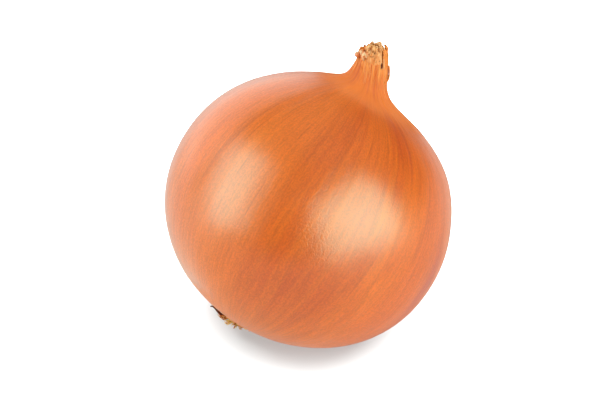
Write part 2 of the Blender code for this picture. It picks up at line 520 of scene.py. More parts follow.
def skin_outline():
    """(radius, height) from the root pole, round the lip and the body, to the pole in the neck."""
    shape = settings().shape
    lip_radius, shoulder_radius, foot_height = 6.6 * MM, 15.5 * MM, 43.3 * MM
    lower, upper = angle_at_radius(lip_radius), math.pi - angle_at_radius(shoulder_radius)
    body = np.array([body_point(angle) for angle in np.linspace(lower, upper, 150)])
    tangent = body[-1] - body[-2]
    tangent /= np.linalg.norm(tangent)
    foot = np.array([shape.neck_radius, foot_height])
    fillet = bezier(body[-1], body[-1] + tangent * 6.6 * MM, foot - (0, 6.8 * MM), foot, 34)
    root = [(0, -35.6), (2.5, -35.6), (4.6, -35.6), (5.6, -35.65)]
    root += [(5.95, -35.85), (6.1, -36.15), (6.3, -36.33)]
    wall, end = shape.neck_radius, shape.neck_end
    neck = [
        (wall - 0.75 * MM * float(smooth_step(z, foot_height, end)), z)
        for z in np.linspace(foot_height, end - 0.2 * MM, 18)[1:]
    ]
    wall = neck[-1][0]
    rim = [(wall - 0.04 * MM, end - 0.06 * MM), (wall - 0.12 * MM, end), (wall - 0.25 * MM, end)]
    inside = [(wall - 0.34 * MM, end - z * MM) for z in (0.1, 0.4, 0.8, 1.3, 1.9, 2.6)]
    floor = [(3.2 * MM, end - 2.9 * MM), (1.5 * MM, end - 3.0 * MM), (0, end - 3.0 * MM)]
    return np.concatenate([np.array(root) * MM, body, fillet, neck, rim, inside, floor])


def outline_mesh(outline):
    """The outline as a mesh of points in XZ, with the length along it from the root pole."""
    mesh = bpy.data.meshes.new("outline")
    points = [(r, 0, z) for r, z in outline]
    mesh.from_pydata(points, [(k, k + 1) for k in range(len(points) - 1)], [])
    steps = np.linalg.norm(np.diff(outline, axis=0), axis=1)
    along = mesh.attributes.new("along", "FLOAT", "POINT")
    along.data.foreach_set("value", np.concatenate([[0], np.cumsum(steps)]))
    return mesh


# All but the last three are settings of the skin, under the same names.
SKIN_INPUTS = (
    ("Segments", "Int"),
    ("Rib Depth", "Float"),
    ("Swell Depth", "Float"),
    ("Pleat Depth", "Float"),
    ("Ragged", "Float"),
    ("Shoulder", "Float"),
    ("Shoulder Facing", "Float"),
    ("Fullness", "Float"),
    ("Full Facing", "Float"),
    ("Seed", "Int"),
    ("Neck End", "Float"),
    ("Radius", "Float"),
    ("Material", "Material"),
)


def skin_tree():
    """Turns an outline round the Z axis and gives the surface its relief and a torn edge."""
    tree, node = new_geometry_tree("Onion Skin", SKIN_INPUTS)
    given = node.outputs
    add = partial(add_node, tree)

    # A flat grid, with a row for each point of the outline, is rolled up round the axis.
    size = add("GeometryNodeAttributeDomainSize", [given["Geometry"]], component="MESH")
    rings = size.outputs["Point Count"]
    columns = add("ShaderNodeMath", [given["Segments"], 1.0], operation="ADD")
    counts = {"Size X": 1.0, "Size Y": 1.0, "Vertices X": columns, "Vertices Y": rings}
    grid = add("GeometryNodeMeshGrid", counts)
    place = add("ShaderNodeSeparateXYZ", [add("GeometryNodeInputPosition")])
    turn = add("ShaderNodeMath", [place.outputs["X"], 0.5], operation="ADD")
    rise = add("ShaderNodeMath", [place.outputs["Y"], 0.5], operation="ADD")
    last_ring = add("ShaderNodeMath", [rings, 1.0], operation="SUBTRACT")
    level = add("ShaderNodeMath", [product(tree, rise, last_ring)], operation="ROUND")
    along = add("GeometryNodeInputNamedAttribute", {"Name": "along"}, data_type="FLOAT")
    outline, length = [
        add(
            "GeometryNodeSampleIndex",
            {"Geometry": given["Geometry"], "Value": value, "Index": level},
            data_type=kind,
            domain="POINT",
        )
        for value, kind in ((add("GeometryNodeInputPosition"), "FLOAT_VECTOR"), (along, "FLOAT"))
    ]
    ring = add("ShaderNodeSeparateXYZ", [outline]).outputs
    lathe = round_axis(tree, ring["X"], product(tree, turn, math.tau), ring["Z"])
    map_place = add("ShaderNodeCombineXYZ", [turn, product(tree, length, 1 / (MAP_LENGTH * MM))])
    mapped = add(
        "GeometryNodeStoreNamedAttribute",
        {"Geometry": grid, "Name": "UVMap", "Value": map_place},
        data_type="FLOAT2",
        domain="CORNER",
    )
    turned = add("GeometryNodeSetPosition", {"Geometry": mapped, "Position": lathe})
    merged = add("GeometryNodeMergeByDistance", {"Geometry": turned, "Distance": DOUBLES})

    spot = add("ShaderNodeSeparateXYZ", [add("GeometryNodeInputPosition")]).outputs
    facing = add("ShaderNodeMath", [spot["Y"], spot["X"]], operation="ARCTAN2")
    height = spot["Z"]

    def ring_noise(gap, stretch, detail, shift):
        """Noise from -1 to 1 in patches this wide round the bulb, and longer by 1 / stretch.

        It is drawn round a ring as wide as the bulb, so that the pattern meets itself.
        """
        z = add("ShaderNodeMath", [product(tree, height, stretch), shift], operation="ADD")
        vector = round_axis(tree, given["Radius"], facing, z)
        inputs = {"Vector": vector, "W": given["Seed"], "Scale": 1 / gap, "Detail": detail}
        found = add("ShaderNodeTexNoise", inputs, noise_dimensions="4D")
        return add("ShaderNodeMath", [found, 2.0, -1.0], operation="MULTIPLY_ADD")

    def one_sided(depth, side, rise, fall):
        """Swells by this depth towards one side, between where it rises and where it falls off."""
        apart = add("ShaderNodeMath", [facing, given[side]], operation="SUBTRACT")
        towards = add("ShaderNodeMath", [apart], operation="COSINE")
        towards = add("ShaderNodeMath", [towards, 0.0], operation="MAXIMUM")
        return product(tree, towards, given[depth], (height, *rise), (height, *fall, 1.0, 0.0))

    ribs = product(tree, ring_noise(4.5 * MM, 0.06, 1.0, 0.0), given["Rib Depth"])
    swell = product(tree, ring_noise(22 * MM, 0.45, 1.0, 0.2), given["Swell Depth"])
    folds = product(tree, ring_noise(11 * MM, 0.25, 3.0, 0.4), given["Pleat Depth"], 1.5)
    uneven = add("ShaderNodeMath", [ribs, swell], operation="ADD")
    # Ribs and swellings fade out at the roots and at the neck, where the pleats take over.
    relief = product(
        tree, uneven, (height, -35.5 * MM, -28 * MM), (height, 26 * MM, 38 * MM, 1.0, 0.0)
    )
    for part in (
        product(tree, folds, (height, 29 * MM, 42 * MM)),
        one_sided("Shoulder", "Shoulder Facing", (32 * MM, 39 * MM), (39.5 * MM, 45.5 * MM)),
        one_sided("Fullness", "Full Facing", (14 * MM, 31 * MM), (33 * MM, 41 * MM)),
    ):
        relief = add("ShaderNodeMath", [relief, part], operation="ADD")
    normal = add("GeometryNodeInputNormal")
    lift = add("ShaderNodeVectorMath", {0: normal, 3: relief}, operation="SCALE")
    raised = add("GeometryNodeSetPosition", {"Geometry": merged, "Offset": lift})

    # The edge at the neck ends at a different height in each direction.
    end = given["Neck End"]
    edge = (height, add("ShaderNodeMath", [end, 3 * MM], operation="SUBTRACT"), end)
    drop = product(tree, ring_noise(12 * MM, 0.0, 4.0, 0.9), given["Ragged"], edge)
    offset = add("ShaderNodeCombineXYZ", {"Z": drop})
    ragged = add("GeometryNodeSetPosition", {"Geometry": raised, "Offset": offset})
    return finish_tree(tree, node, ragged)


FIBRE_INPUTS = (("Sides", "Int"), ("Waver", "Float"), ("Seed", "Int"), ("Material", "Material"))


def fibre_tree():
    """Sweeps a round section along each guide line. A point's size is the radius there."""
    tree, node = new_geometry_tree("Fibres", FIBRE_INPUTS)
    given = node.outputs
    add = partial(add_node, tree)
    lines = add("GeometryNodeMeshToCurve", [given["Geometry"]])
    spot = add("GeometryNodeInputPosition")
    inputs = {"Vector": spot, "Scale": 1 / (1.3 * MM), "Detail": 1.0, "W": given["Seed"]}
    waves = add("ShaderNodeTexNoise", inputs, noise_dimensions="4D").outputs["Color"]
    centred = add("ShaderNodeVectorMath", [waves, (0.5, 0.5, 0.5)], operation="SUBTRACT")
    shift = add("ShaderNodeVectorMath", {0: centred, 3: given["Waver"]}, operation="SCALE")
    wavy = add("GeometryNodeSetPosition", {"Geometry": lines, "Offset": shift})
    section = add("GeometryNodeCurvePrimitiveCircle", {"Resolution": given["Sides"], "Radius": 1.0})
    size = add("GeometryNodeInputNamedAttribute", {"Name": "size"}, data_type="FLOAT")
    sweep = {"Curve": wavy, "Profile Curve": section, "Scale": size, "Fill Caps": True}
    return finish_tree(tree, node, add("GeometryNodeCurveToMesh", sweep))


def make_fibres(guides, material, sides, waver):
    """A closed tapered fibre along each guide, which is (points, radii, shade)."""
    mesh = bpy.data.meshes.new("guides")
    points, edges, sizes, shades = [], [], [], []
    for path, radii, shade in guides:
        first = len(points)
        points += [tuple(p) for p in path]
        edges += [(first + k, first + k + 1) for k in range(len(path) - 1)]
        sizes += list(radii)
        shades += [shade] * len(path)
    mesh.from_pydata(points, edges, [])
    for name, values in (("size", sizes), ("shade", shades)):
        mesh.attributes.new(name, "FLOAT", "POINT").data.foreach_set("value", values)
    values = {"Sides": sides, "Waver": waver, "Seed": settings().skin.seed, "Material": material}
    return close_up(run_tree(fibre_tree(), mesh, values))


def curve_through(knots, count):
    """Points of a smooth Catmull-Rom curve through these knots."""
    knots = np.array(knots, float)
    ends = 2 * knots[0] - knots[1], 2 * knots[-1] - knots[-2]
    padded = np.vstack([ends[0], knots, ends[1]])
    place = np.linspace(0, len(knots) - 1, count)
    first = np.minimum(place.astype(int), len(knots) - 2)
    t = (place - first)[:, None]
    a, b, c, d = (padded[first + k] for k in range(4))
    return b + 0.5 * t * ((c - a) + t * ((2 * a - 5 * b + 4 * c - d) + t * (3 * (b - c) + d - a)))


def leaf_strip(rng, facing, width, profile, torn=0.3, crumple=0.3, taper=0.3, cup=0.0):
    """A strip of dry leaf that rises along a (radius, height) profile and is torn at its end."""
    rows, columns, samples = 16, 11, 101
    share = np.linspace(0, 1, rows)[:, None]
    side = np.linspace(-1, 1, columns)[None, :]
    # Two columns in three are torn back from the end, each by its own amount.
    tears = rng.random(columns) * (rng.random(columns) > 0.35)
    line = curve_through(profile, samples)
    level = share * (1 - torn * tears[None, :] * share)
    radius, height = (np.interp(level, np.linspace(0, 1, samples), line[:, k]) for k in (0, 1))
    # Crumples are a few waves of random slant, which grow towards the end.
    waves = np.zeros((rows, columns))
    for k in range(1, 5):
        a, b = rng.uniform(0.6, 1.4, 2) * k
        waves += np.sin(a * side * 2.2 + b * share * 3.0 + rng.uniform(0, math.tau)) / k
    radius = radius + crumple * waves * (0.15 + 0.85 * share) + cup * side**2 * share
    half = width / 2 * (1 - taper * share**1.5) * (1 + 0.12 * waves * share)
    angle = math.radians(facing) + side * half / max(profile[0][0], 1.5)
    height = height + 0.35 * crumple * np.roll(waves, 2, axis=1) * share
    return np.stack([radius * np.cos(angle), radius * np.sin(angle), height], axis=-1) * MM


# ---------------------------------------------------------------- materials


def bulb_coordinates(tree):
    """The direction round the axis as a ring, with the height along the skin, both in mm.

    They come from the skin's own map: its U is the turn round the axis, and its V is the length along
    the outline from the root pole.
    """
    own_map = add_node(tree, "ShaderNodeUVMap", uv_map="UVMap")
    place = add_node(tree, "ShaderNodeSeparateXYZ", [own_map]).outputs
    length = product(tree, place["Y"], MAP_LENGTH)
    return round_axis(tree, RING_RADIUS, product(tree, place["X"], math.tau), length), length


def streak_noise(tree, coordinates, width, stretch, detail, shift, roughness=0.5):
    """Noise in streaks this many millimetres wide, longer by 1 / stretch along the meridian."""
    squeeze = {"Vector": coordinates, "Location": (0, 0, shift), "Scale": (1, 1, stretch)}
    squeezed = add_node(tree, "ShaderNodeMapping", squeeze)
    inputs = {"Vector": squeezed, "Scale": 1 / width, "Detail": detail, "Roughness": roughness}
    return add_node(tree, "ShaderNodeTexNoise", inputs)


def lump_noise(tree, size, detail):
    """Noise in lumps this many millimetres wide."""
    place = add_node(tree, "ShaderNodeTexCoord").outputs["Object"]
    inputs = {"Vector": place, "Scale": 1 / (size * MM), "Detail": detail}
    return add_node(tree, "ShaderNodeTexNoise", inputs)


def own_shade(tree):
    """The shade that each strip or fibre has of its own, from 0 for dark to 1 for pale."""
    return add_node(
        tree, "ShaderNodeAttribute", attribute_name="shade", attribute_type="GEOMETRY"
    ).outputs["Fac"]


def papery_skin():
    """Dry outer scale of a brown onion: thin, satin, with long cells and veins from root to neck.

    The eye sees an orange brown with a broad soft gloss that turns pale at the rim, fine darker
    veins, and a straw colour that runs down the neck in forked rays.
    """
    skin = settings().skin
    material, tree = new_material("dry_onion_skin")
    add = partial(add_node, tree)
    ring, length = bulb_coordinates(tree)
    streaks = partial(streak_noise, tree, ring)

    def side(facing):
        """How far each place lies towards this side of the axis, in mm."""
        towards = (math.cos(math.radians(facing)), math.sin(math.radians(facing)), 0)
        return add("ShaderNodeVectorMath", [ring, towards], operation="DOT_PRODUCT").outputs["Value"]

    # Lighter patches of random tone, which leave two broad dark bands and cover one side. The band on
    # the side that faces the camera, between the two highlights, is partly the skin's darker tone and
    # partly painted shade. The paler side towards the left lamps is partly paler skin and partly
    # painted light.
    patches = product(
        tree,
        (streaks(17.0, 0.35, 2.0, 1.3), 0.33, 0.58),
        (side(229), 33.0, 41.0, 1.0, 0.15),
        (side(281), 37.0, 41.0, 1.0, 0.4),
    )
    # Painted light in part: the side towards the left lamps is made paler.
    paler_and_lit_side = product(tree, (side(168), 22.0, 35.0, 0.0, 0.85))
    light = add("ShaderNodeMath", [patches, paler_and_lit_side], operation="MAXIMUM")
    colour = tinted(tree, tuple(skin.colour), tuple(skin.pale_and_lit_colour), light)
    colour = tinted(tree, colour, rgb("E06C0E"), (streaks(3.4, 0.08, 2.0, 3.0), 0.35, 0.65, 0.0, 0.65))

    # Veins run where a noise crosses its middle. They are broken up, and fade out at the roots.
    field = streaks(skin.vein_gap / MM, 0.04, 1.0, 5.0)
    offset = add("ShaderNodeMath", [field, 0.5], operation="SUBTRACT")
    apart = add("ShaderNodeMath", [offset], operation="ABSOLUTE")
    breaks = (streaks(3.0, 0.12, 1.0, 11.0), 0.46, 0.66)
    veins = (breaks, (length, 10.0, 22.0), (apart, 0.0, 0.044, 1.0, 0.0), 0.33)
    colour = tinted(tree, colour, tuple(skin.vein_colour), *veins)
    # Paler towards the root end: partly the skin's own paler foot, partly painted light from the white
    # floor below.
    colour = tinted(tree, colour, rgb("F28A2A"), (length, 12.0, 50.0, 0.65, 0.0))

    # Long cells and a fine grain lighten and darken everything a little. On a real skin both are
    # about 0.1 mm wide, and they are drawn coarser here so that they show.
    cells, grain = streaks(0.8, 0.1, 3.0, 9.0), streaks(0.42, 0.7, 2.0, 2.0)
    shade = product(tree, (cells, 0.35, 0.65, 0.93, 1.05), (grain, 0.35, 0.65, 0.90, 1.08))
    colour = add("ShaderNodeVectorMath", {0: colour, 3: shade}, operation="SCALE")

    # The neck turns orange, then straw in rays of uneven reach, with darker lines on it that are
    # partly darker skin and partly painted shade in its folds.
    rays = product(tree, streaks(3.6, 0.02, 3.0, 7.0, 0.6), 26.0)
    reach = add("ShaderNodeMath", [length, rays], operation="SUBTRACT")
    lines = (streaks(5.0, 0.03, 3.0, 15.0), 0.47, 0.6)
    colour = tinted(tree, colour, rgb("EC7600"), (length, 103.0, 114.0, 0.0, 0.75))
    colour = tinted(tree, colour, tuple(skin.neck_colour), (reach, 106.0, 109.0, 0.0, 0.85))
    # Painted shade in part: darker lines down the folds of the neck.
    colour = tinted(tree, colour, rgb("D45A02"), lines, (length, 110.0, 117.0), 0.75)

    relief = [product(tree, cells, 0.4), product(tree, grain, 0.8)]
    relief = add("ShaderNodeMath", relief, operation="ADD")
    surface = {
        "Base Color": colour,
        "Roughness": product(tree, (length, 102.0, 112.0, 0.3, 0.9)),
        "IOR": 1.5,
        "Specular IOR Level": 0.75,
    }
    finish_material(tree, surface, bump=(0.6, 0.12, relief))
    return material


def straw_leaf():
    """Withered leaf: dead, fibrous and matte, straw yellow with brown where it has rotted. Its darkest
    shades are painted shade, for the strips that stand in the neck's shadowed gaps.
    """
    material, tree = new_material("withered_leaf")
    shade = own_shade(tree)
    own_map = add_node(tree, "ShaderNodeUVMap", uv_map="UVMap")
    strands = add_node(tree, "ShaderNodeMapping", {"Vector": own_map, "Scale": (9.0, 0.8, 1.0)})
    fibres = add_node(tree, "ShaderNodeTexNoise", {"Vector": strands, "Scale": 1.0, "Detail": 3.0})
    pale = tuple(settings().ends.leaf_colour)
    body = tinted(tree, rgb("F08830"), pale, (shade, 0.45, 1.0))
    # Painted shade: shades below about 0.4 turn dark brown, and only the strips in the neck's shadowed
    # gaps are that dark.
    body = tinted(tree, rgb("5A240C"), body, (shade, 0.0, 0.4))
    lines = tinted(tree, rgb("4A1C08"), rgb("E6883A"), (shade, 0.1, 0.5))
    colour = tinted(tree, lines, body, (fibres, 0.36, 0.6))
    rot = (lump_noise(tree, 1.3, 2.0), 0.60, 0.72, 0.0, 0.7)
    surface = {
        "Base Color": tinted(tree, colour, rgb("9A4A18"), rot),
        "Roughness": 0.62,
        "IOR": 1.45,
        "Specular IOR Level": 0.2,
    }
    finish_material(tree, surface, bump=(0.6, 0.1, fibres))
    return material


def inner_skin():
    """The inner face of a dry scale, where it curls over: smooth, cream to pink, slightly glossy."""
    material, tree = new_material("inner_face_of_skin")
    patches = (lump_noise(tree, 0.8, 2.0), 0.42, 0.60)
    colour = tinted(tree, rgb("F8CE94"), rgb("E07A34"), patches)
    finish_material(tree, {"Base Color": colour, "Roughness": 0.6, "IOR": 1.5})
    return material


def neck_pith():
    """What is left inside the neck: collapsed, shaded leaf tissue, brown to straw."""
    material, tree = new_material("collapsed_neck_tissue")
    lumps = lump_noise(tree, 0.7, 3.0)
    colour = tinted(tree, rgb("94481A"), rgb("F2BC72"), (lumps, 0.4, 0.62))
    surface = {"Base Color": colour, "Roughness": 0.8, "IOR": 1.45}
    finish_material(tree, surface, bump=(0.8, 0.2, lumps))
    return material


def root_fibre():
    """Dried root: a brittle shrivelled fibre, dark brown to tan, each one a little different."""
    material, tree = new_material("dried_root_fibre")
    shade = own_shade(tree)
    patches = lump_noise(tree, 1.0, 2.0)
    tan = tuple(settings().ends.root_colour)
    colour = tinted(tree, rgb("64300F"), tan, (shade, 0.1, 0.4))
    colour = tinted(tree, colour, rgb("F6DA84"), (shade, 0.5, 0.9))
    surface = {
        "Base Color": tinted(tree, colour, rgb("5A2A12"), (patches, 0.55, 0.75, 0.0, 0.3)),
        "Roughness": 0.7,
        "IOR": 1.45,
        "Specular IOR Level": 0.2,
    }
    finish_material(tree, surface, bump=(0.5, 0.1, patches))
    return material


def root_cork():
    """The dried root plate: a corky, dusty crust with the scars of lost roots."""
    material, tree = new_material("corky_root_plate")
    place = add_node(tree, "ShaderNodeTexCoord").outputs["Object"]
    scars = add_node(tree, "ShaderNodeTexVoronoi", {"Vector": place, "Scale": 1 / (0.9 * MM)})
    colour = tinted(tree, rgb("5B341B"), rgb("C79A66"), (scars, 0.15, 0.6))
    dust = (lump_noise(tree, 1.5, 4.0), 0.4, 0.7, 0.0, 0.7)
    colour = tinted(tree, colour, rgb("A87B4C"), dust)
    surface = {"Base Color": colour, "Roughness": 0.9, "IOR": 1.45}
    finish_material(tree, surface, bump=(0.8, 0.3, scars))
    return material


# ---------------------------------------------------------------- the neck

# Facing in degrees, width, (radius, height) profile, torn, crumple and shade of each strip that shows.
NECK_STRIPS = (
    (226, 3.0, [(4.1, 44.4), (4.2, 46.0), (4.05, 47.2), (3.6, 48.1)], 0.30, 0.15, 0.72),
    (205, 2.2, [(4.2, 44.5), (4.25, 46.0), (3.9, 47.3), (3.3, 48.2)], 0.40, 0.18, 0.80),
    (246, 2.4, [(4.1, 44.4), (4.25, 46.2), (4.0, 47.6), (3.4, 48.7)], 0.30, 0.18, 0.78),
    (160, 2.8, [(4.3, 43.8), (4.4, 45.4), (4.2, 46.8), (3.6, 47.8)], 0.50, 0.20, 0.42),
    (135, 2.4, [(4.3, 43.8), (4.4, 45.4), (4.2, 46.6), (3.6, 47.6)], 0.45, 0.20, 0.55),
    (277, 2.4, [(4.2, 44.0), (4.2, 46.2), (4.0, 48.2), (3.3, 49.4)], 0.15, 0.15, 0.55),
    (300, 2.0, [(4.1, 43.8), (3.9, 46.2), (3.6, 48.0), (2.5, 49.0)], 0.12, 0.15, 0.52),
    (268, 0.5, [(4.3, 44.0), (4.65, 45.2), (4.55, 46.4), (4.2, 47.4)], 0.10, 0.04, 0.85),
    # A near-black strip laid in the slit between two strips: painted shade of the gap.
    (261, 0.4, [(4.4, 44.2), (4.5, 44.9), (4.4, 45.6), (4.15, 46.3)], 0.10, 0.03, 0.02),
    (305, 1.5, [(4.5, 41.3), (5.1, 42.6), (5.15, 44.2), (4.5, 45.6)], 0.25, 0.08, 0.72),
    (325, 2.4, [(4.1, 43.6), (3.9, 45.8), (3.7, 47.8), (2.9, 48.9)], 0.10, 0.15, 0.65),
)
# A dark strip on the far side, seen through the gaps in the crown: painted shade of the holes.
HOLE_SHADE_STRIP = (335, 3.4, [(3.6, 44.5), (3.6, 46.5), (3.4, 48.0), (2.5, 48.9)], 0.10, 0.12)
CURL_LINE = [(3.8, 45.0), (3.9, 46.4), (4.3, 47.2), (4.9, 46.8), (4.95, 45.7), (4.5, 44.9)]
SCRAP_LINE = [(4.2, 44.8), (4.4, 45.8), (5.1, 46.0), (5.5, 45.2), (5.3, 44.4)]


def neck_tatters(rng):
    """The torn leaf strips that stand round the end of the neck."""
    ends = settings().ends
    grids = [leaf_strip(rng, *strip) for *strip, _ in NECK_STRIPS]
    shades = [strip[-1] for strip in NECK_STRIPS]
    for _ in range(ends.tatter_count):
        facing = rng.uniform(-20, 128)
        top = 47.8 + 1.0 * math.cos(math.radians(facing + 30)) + rng.uniform(-0.5, 0.5)
        line = [(4.1, 44.8), (4.25, top - 2.0), (4.1, top - 0.8), (4.1 - rng.uniform(0.2, 1.3), top)]
        width, cup = rng.uniform(1.5, 2.6), rng.uniform(-0.5, 0.5)
        grids.append(leaf_strip(rng, facing, width, line, cup=cup))
        shades.append(rng.uniform(0.55, 0.8))
    # Painted shade: the dark far strip that fills the holes in the crown.
    grids.append(leaf_strip(np.random.default_rng(settings().skin.seed + 3), *HOLE_SHADE_STRIP))
    shades.append(0.12)
    return settle(sheet_mesh(grids, shades, ends.tatter_thickness))


def neck_wads(rng):
    """The inner leaves, which stand up between the strips as thick crumpled wads."""
    ends = settings().ends
    grids, shades = [], []
    reach = 3.1
    for k in range(ends.wad_count):
        facing = GOLDEN_TURN * k + rng.uniform(-15, 15)
        foot = reach * math.sqrt((k + 0.5) / ends.wad_count)
        higher = 0.7 * foot / reach * math.cos(math.radians(facing + 40))
        top = 49.0 + higher + rng.uniform(-0.5, 0.5)
        tip = (foot - rng.uniform(0.4, 1.0), top)
        line = [(foot, 45.0), (foot + 0.15, top - 2.0), (foot + 0.1, top - 0.7), tip]
        width, cup = rng.uniform(1.1, 1.8), rng.uniform(-0.6, 0.6)
        grids.append(leaf_strip(rng, facing, width, line, torn=0.08, crumple=0.35, cup=cup))
        shades.append(rng.uniform(0.85, 1.0) if rng.random() > 0.15 else rng.uniform(0.4, 0.6))
    return settle(sheet_mesh(grids, shades, 3.0 * ends.tatter_thickness))


def neck_curl(rng):
    """The strip of skin that curls over the rim, and a scrap beside it."""
    curl = leaf_strip(rng, 189, 2.5, CURL_LINE, torn=0.35, crumple=0.28, taper=0.1, cup=0.3)
    scrap = leaf_strip(rng, 160, 1.8, SCRAP_LINE, torn=0.4, crumple=0.10)
    return settle(sheet_mesh([curl, scrap], [0.8, 0.6], 1.3 * settings().ends.tatter_thickness))


def neck_core():
    """What is left of the inner leaves, which closes the neck."""

    def lump(x, y):
        return noise.noise(Vector((x, y, 3.7)) * 1.3)

    def profile(share, lumps):
        return 46.9 - 1.5 * share**2 + 1.1 * lumps * (1 - share**4)

    return settle(lumpy_dome(lump, profile, radius=4.0, rings=16, columns=40, floor=44.6))


def skin_surface():
    """The skin with its neck bent, as it is before it is tilted, to lay fibres on it."""
    bm = bmesh.new()
    bm.from_mesh(bpy.data.objects["skin"].data)
    bmesh.ops.transform(bm, matrix=bulb_frame().inverted(), verts=bm.verts)
    surface = BVHTree.FromBMesh(bm)
    bm.free()
    return surface


def neck_fibres(rng, material):
    """Pale fibres, bared where the skin has worn, that run down the neck."""
    surface = skin_surface()
    guides = []
    for _ in range(settings().ends.fibre_count):
        facing = math.radians(rng.uniform(0, 360))
        start = rng.uniform(38.5, 44.8)
        stop = min(start + rng.uniform(2.0, 8.0), 47.0)
        drift = rng.uniform(-0.05, 0.05)
        size = rng.uniform(0.04, 0.10)
        path, radii = [], []
        for share in np.linspace(0, 1, 10):
            height = start + (stop - start) * share
            turn = facing + drift * (height - start)
            line = [(0, 0, height), (12 * math.cos(turn), 12 * math.sin(turn), height)]
            middle, outside = map(Vector, with_bent_neck(np.array(line) * MM))
            inwards = (middle - outside).normalized()
            hit = surface.ray_cast(outside, inwards)[0]
            if hit is None:
                continue
            path.append(bulb_frame() @ (hit - inwards * 0.3 * size * MM))
            swell = math.sin(math.pi * min(share * 0.6 + 0.1, 0.5))
            radii.append(size * MM * (0.25 + 0.75 * swell))
        if len(path) > 3:
            guides.append((path, radii, rng.uniform(0.5, 0.8)))
    return make_fibres(guides, material, sides=5, waver=0.0)


# ---------------------------------------------------------------- the root end

ROOT_HOOK = [(2.6, -37.4), (4.4, -38.6), (6.2, -38.3), (7.9, -37.75), (8.85, -37.6), (9.35, -38.0)]
ROOT_BY_HOOK = [(3.0, -37.0), (4.6, -38.4), (6.2, -38.1), (7.2, -37.7)]
# Turn from the side where the roots gather, reach from the axis and drop below the middle.
FRONT_ROOTS = (
    (-0.35, 5.0, 38.5),
    (-0.2, 5.6, 38.9),
    (-0.05, 6.0, 38.6),
    (0.1, 5.5, 39.2),
    (0.25, 5.9, 38.8),
    (0.4, 5.2, 38.7),
)


def root_plate():
    """The lumpy crust that the roots grow from."""

    def lump(x, y):
        return noise.fractal(Vector((x, y, 1.1)) * 0.9, 0.8, 2.0, 3)

    def profile(share, lumps):
        return -37.35 + 0.9 * share**3 + 0.45 * lumps * (1 - share**6)

    radius = settings().ends.plate_radius / MM
    return settle(lumpy_dome(lump, profile, radius, rings=22, columns=64, floor=-35.8, turn=-1))


def root_collar():
    """The frayed papery collar in which the skin ends round the plate."""
    rows, columns = 6, 180
    turn = np.linspace(0, math.tau, columns)
    around = [Vector((math.cos(a), math.sin(a), 0.3)) * 7 for a in turn]
    fray = np.array([noise.fractal(place, 0.7, 2.2, 4) for place in around])
    fray[-1] = fray[0]
    share = np.linspace(0, 1, rows)[:, None]
    height = -36.15 - share * (0.55 + 0.45 * fray)
    radius = 6.05 + 0.75 * share**1.5 + 0.25 * fray * share
    collar = np.stack([radius * np.cos(turn), radius * np.sin(turn), height], axis=-1) * MM
    return settle(close_up(sheet_mesh([collar], [0.8], 0.12 * MM), merge=DOUBLES))


def root_guides(rng):
    """The line of each root in the tuft, with its radii and its shade."""
    ends = settings().ends
    guides = []

    def add_root(turn, points, thick, thin, shade):
        """A root through (radius, height) points, turned this far from the gathering side."""
        facing = ROOT_SIDE + turn
        line = curve_through(points, 9) * MM
        path = [(r * math.cos(facing), r * math.sin(facing), z) for r, z in line]
        guides.append((path, np.linspace(thick, thin, len(path)) * MM, shade))

    add_root(0, ROOT_HOOK, 0.55, 0.15, 0.02)
    add_root(0.10, ROOT_BY_HOOK, 0.45, 0.15, 0.05)
    for turn, reach, drop in FRONT_ROOTS:
        points = [(3.0, -36.9), (4.1, 0.9 - drop), (5.0, 0.35 - drop), (reach, -drop)]
        add_root(turn, points, rng.uniform(0.26, 0.34), 0.16, rng.uniform(0.3, 0.6))
    for turn in (0.6, 0.8, 1.0, 1.2, 1.4):
        drop = rng.uniform(38.2, 38.6)
        points = [(2.6, -36.9), (3.4, 0.5 - drop), (3.9, -drop), (rng.uniform(4.2, 4.8), 0.1 - drop)]
        add_root(turn, points, rng.uniform(0.17, 0.24), 0.1, rng.uniform(0.8, 1.0))

    for _ in range(ends.root_count):
        start = rng.random() ** 0.6 * 4.7
        facing = rng.uniform(0, math.tau)
        foot = np.array([start * math.cos(facing), start * math.sin(facing)])
        towards = rng.normal(facing, 0.8) if start > 2 else rng.uniform(0, math.tau)
        towards += 0.5 * math.sin(ROOT_SIDE - towards)
        # They stand up and reach out most on the side they gather to, and lie flat on the other.
        free = 0.62 + 0.95 * start / 4.9 * math.cos(facing - ROOT_SIDE)
        free = min(1.0, max(0.15, free))
        length = rng.uniform(0.45, 1.0) * ends.root_length / MM * free
        rise = rng.uniform(0.9, 2.1) * free
        hook = rng.uniform(-1.1, 1.1)
        thick = ends.root_thickness / MM / 2 * rng.uniform(0.5, 1.1)
        path, radii = [], []
        for share in np.linspace(0, 1, 8):
            bend = towards + hook * share
            spot = foot + length * share * 0.8 * np.array([math.cos(bend), math.sin(bend)])
            spot *= min(1, 6.4 / max(np.linalg.norm(spot), 1e-6))
            height = -36.9 - rise * math.sin(math.pi * min(share * 0.75, 1)) - 0.35 * share
            path.append((spot[0] * MM, spot[1] * MM, height * MM))
            radii.append(thick * (1 - 0.75 * share**1.5) * MM)
        pale = 1.0 if start < 3.0 else 0.7
        guides.append((path, radii, float(np.clip(rng.normal(pale, 0.2), 0, 1))))
    return guides


# ---------------------------------------------------------------- the stage

LAMP_DISTANCE = 0.7  # m from the bulb's middle
FLOOR_REACH = 4.0  # m from the bulb to the floor's edges


def direction(turn, elevation):
    """The unit vector that points back to a viewer who looks in this direction from this height."""
    flat = math.cos(elevation)
    return Vector((math.sin(turn) * flat, -math.cos(turn) * flat, math.sin(elevation)))


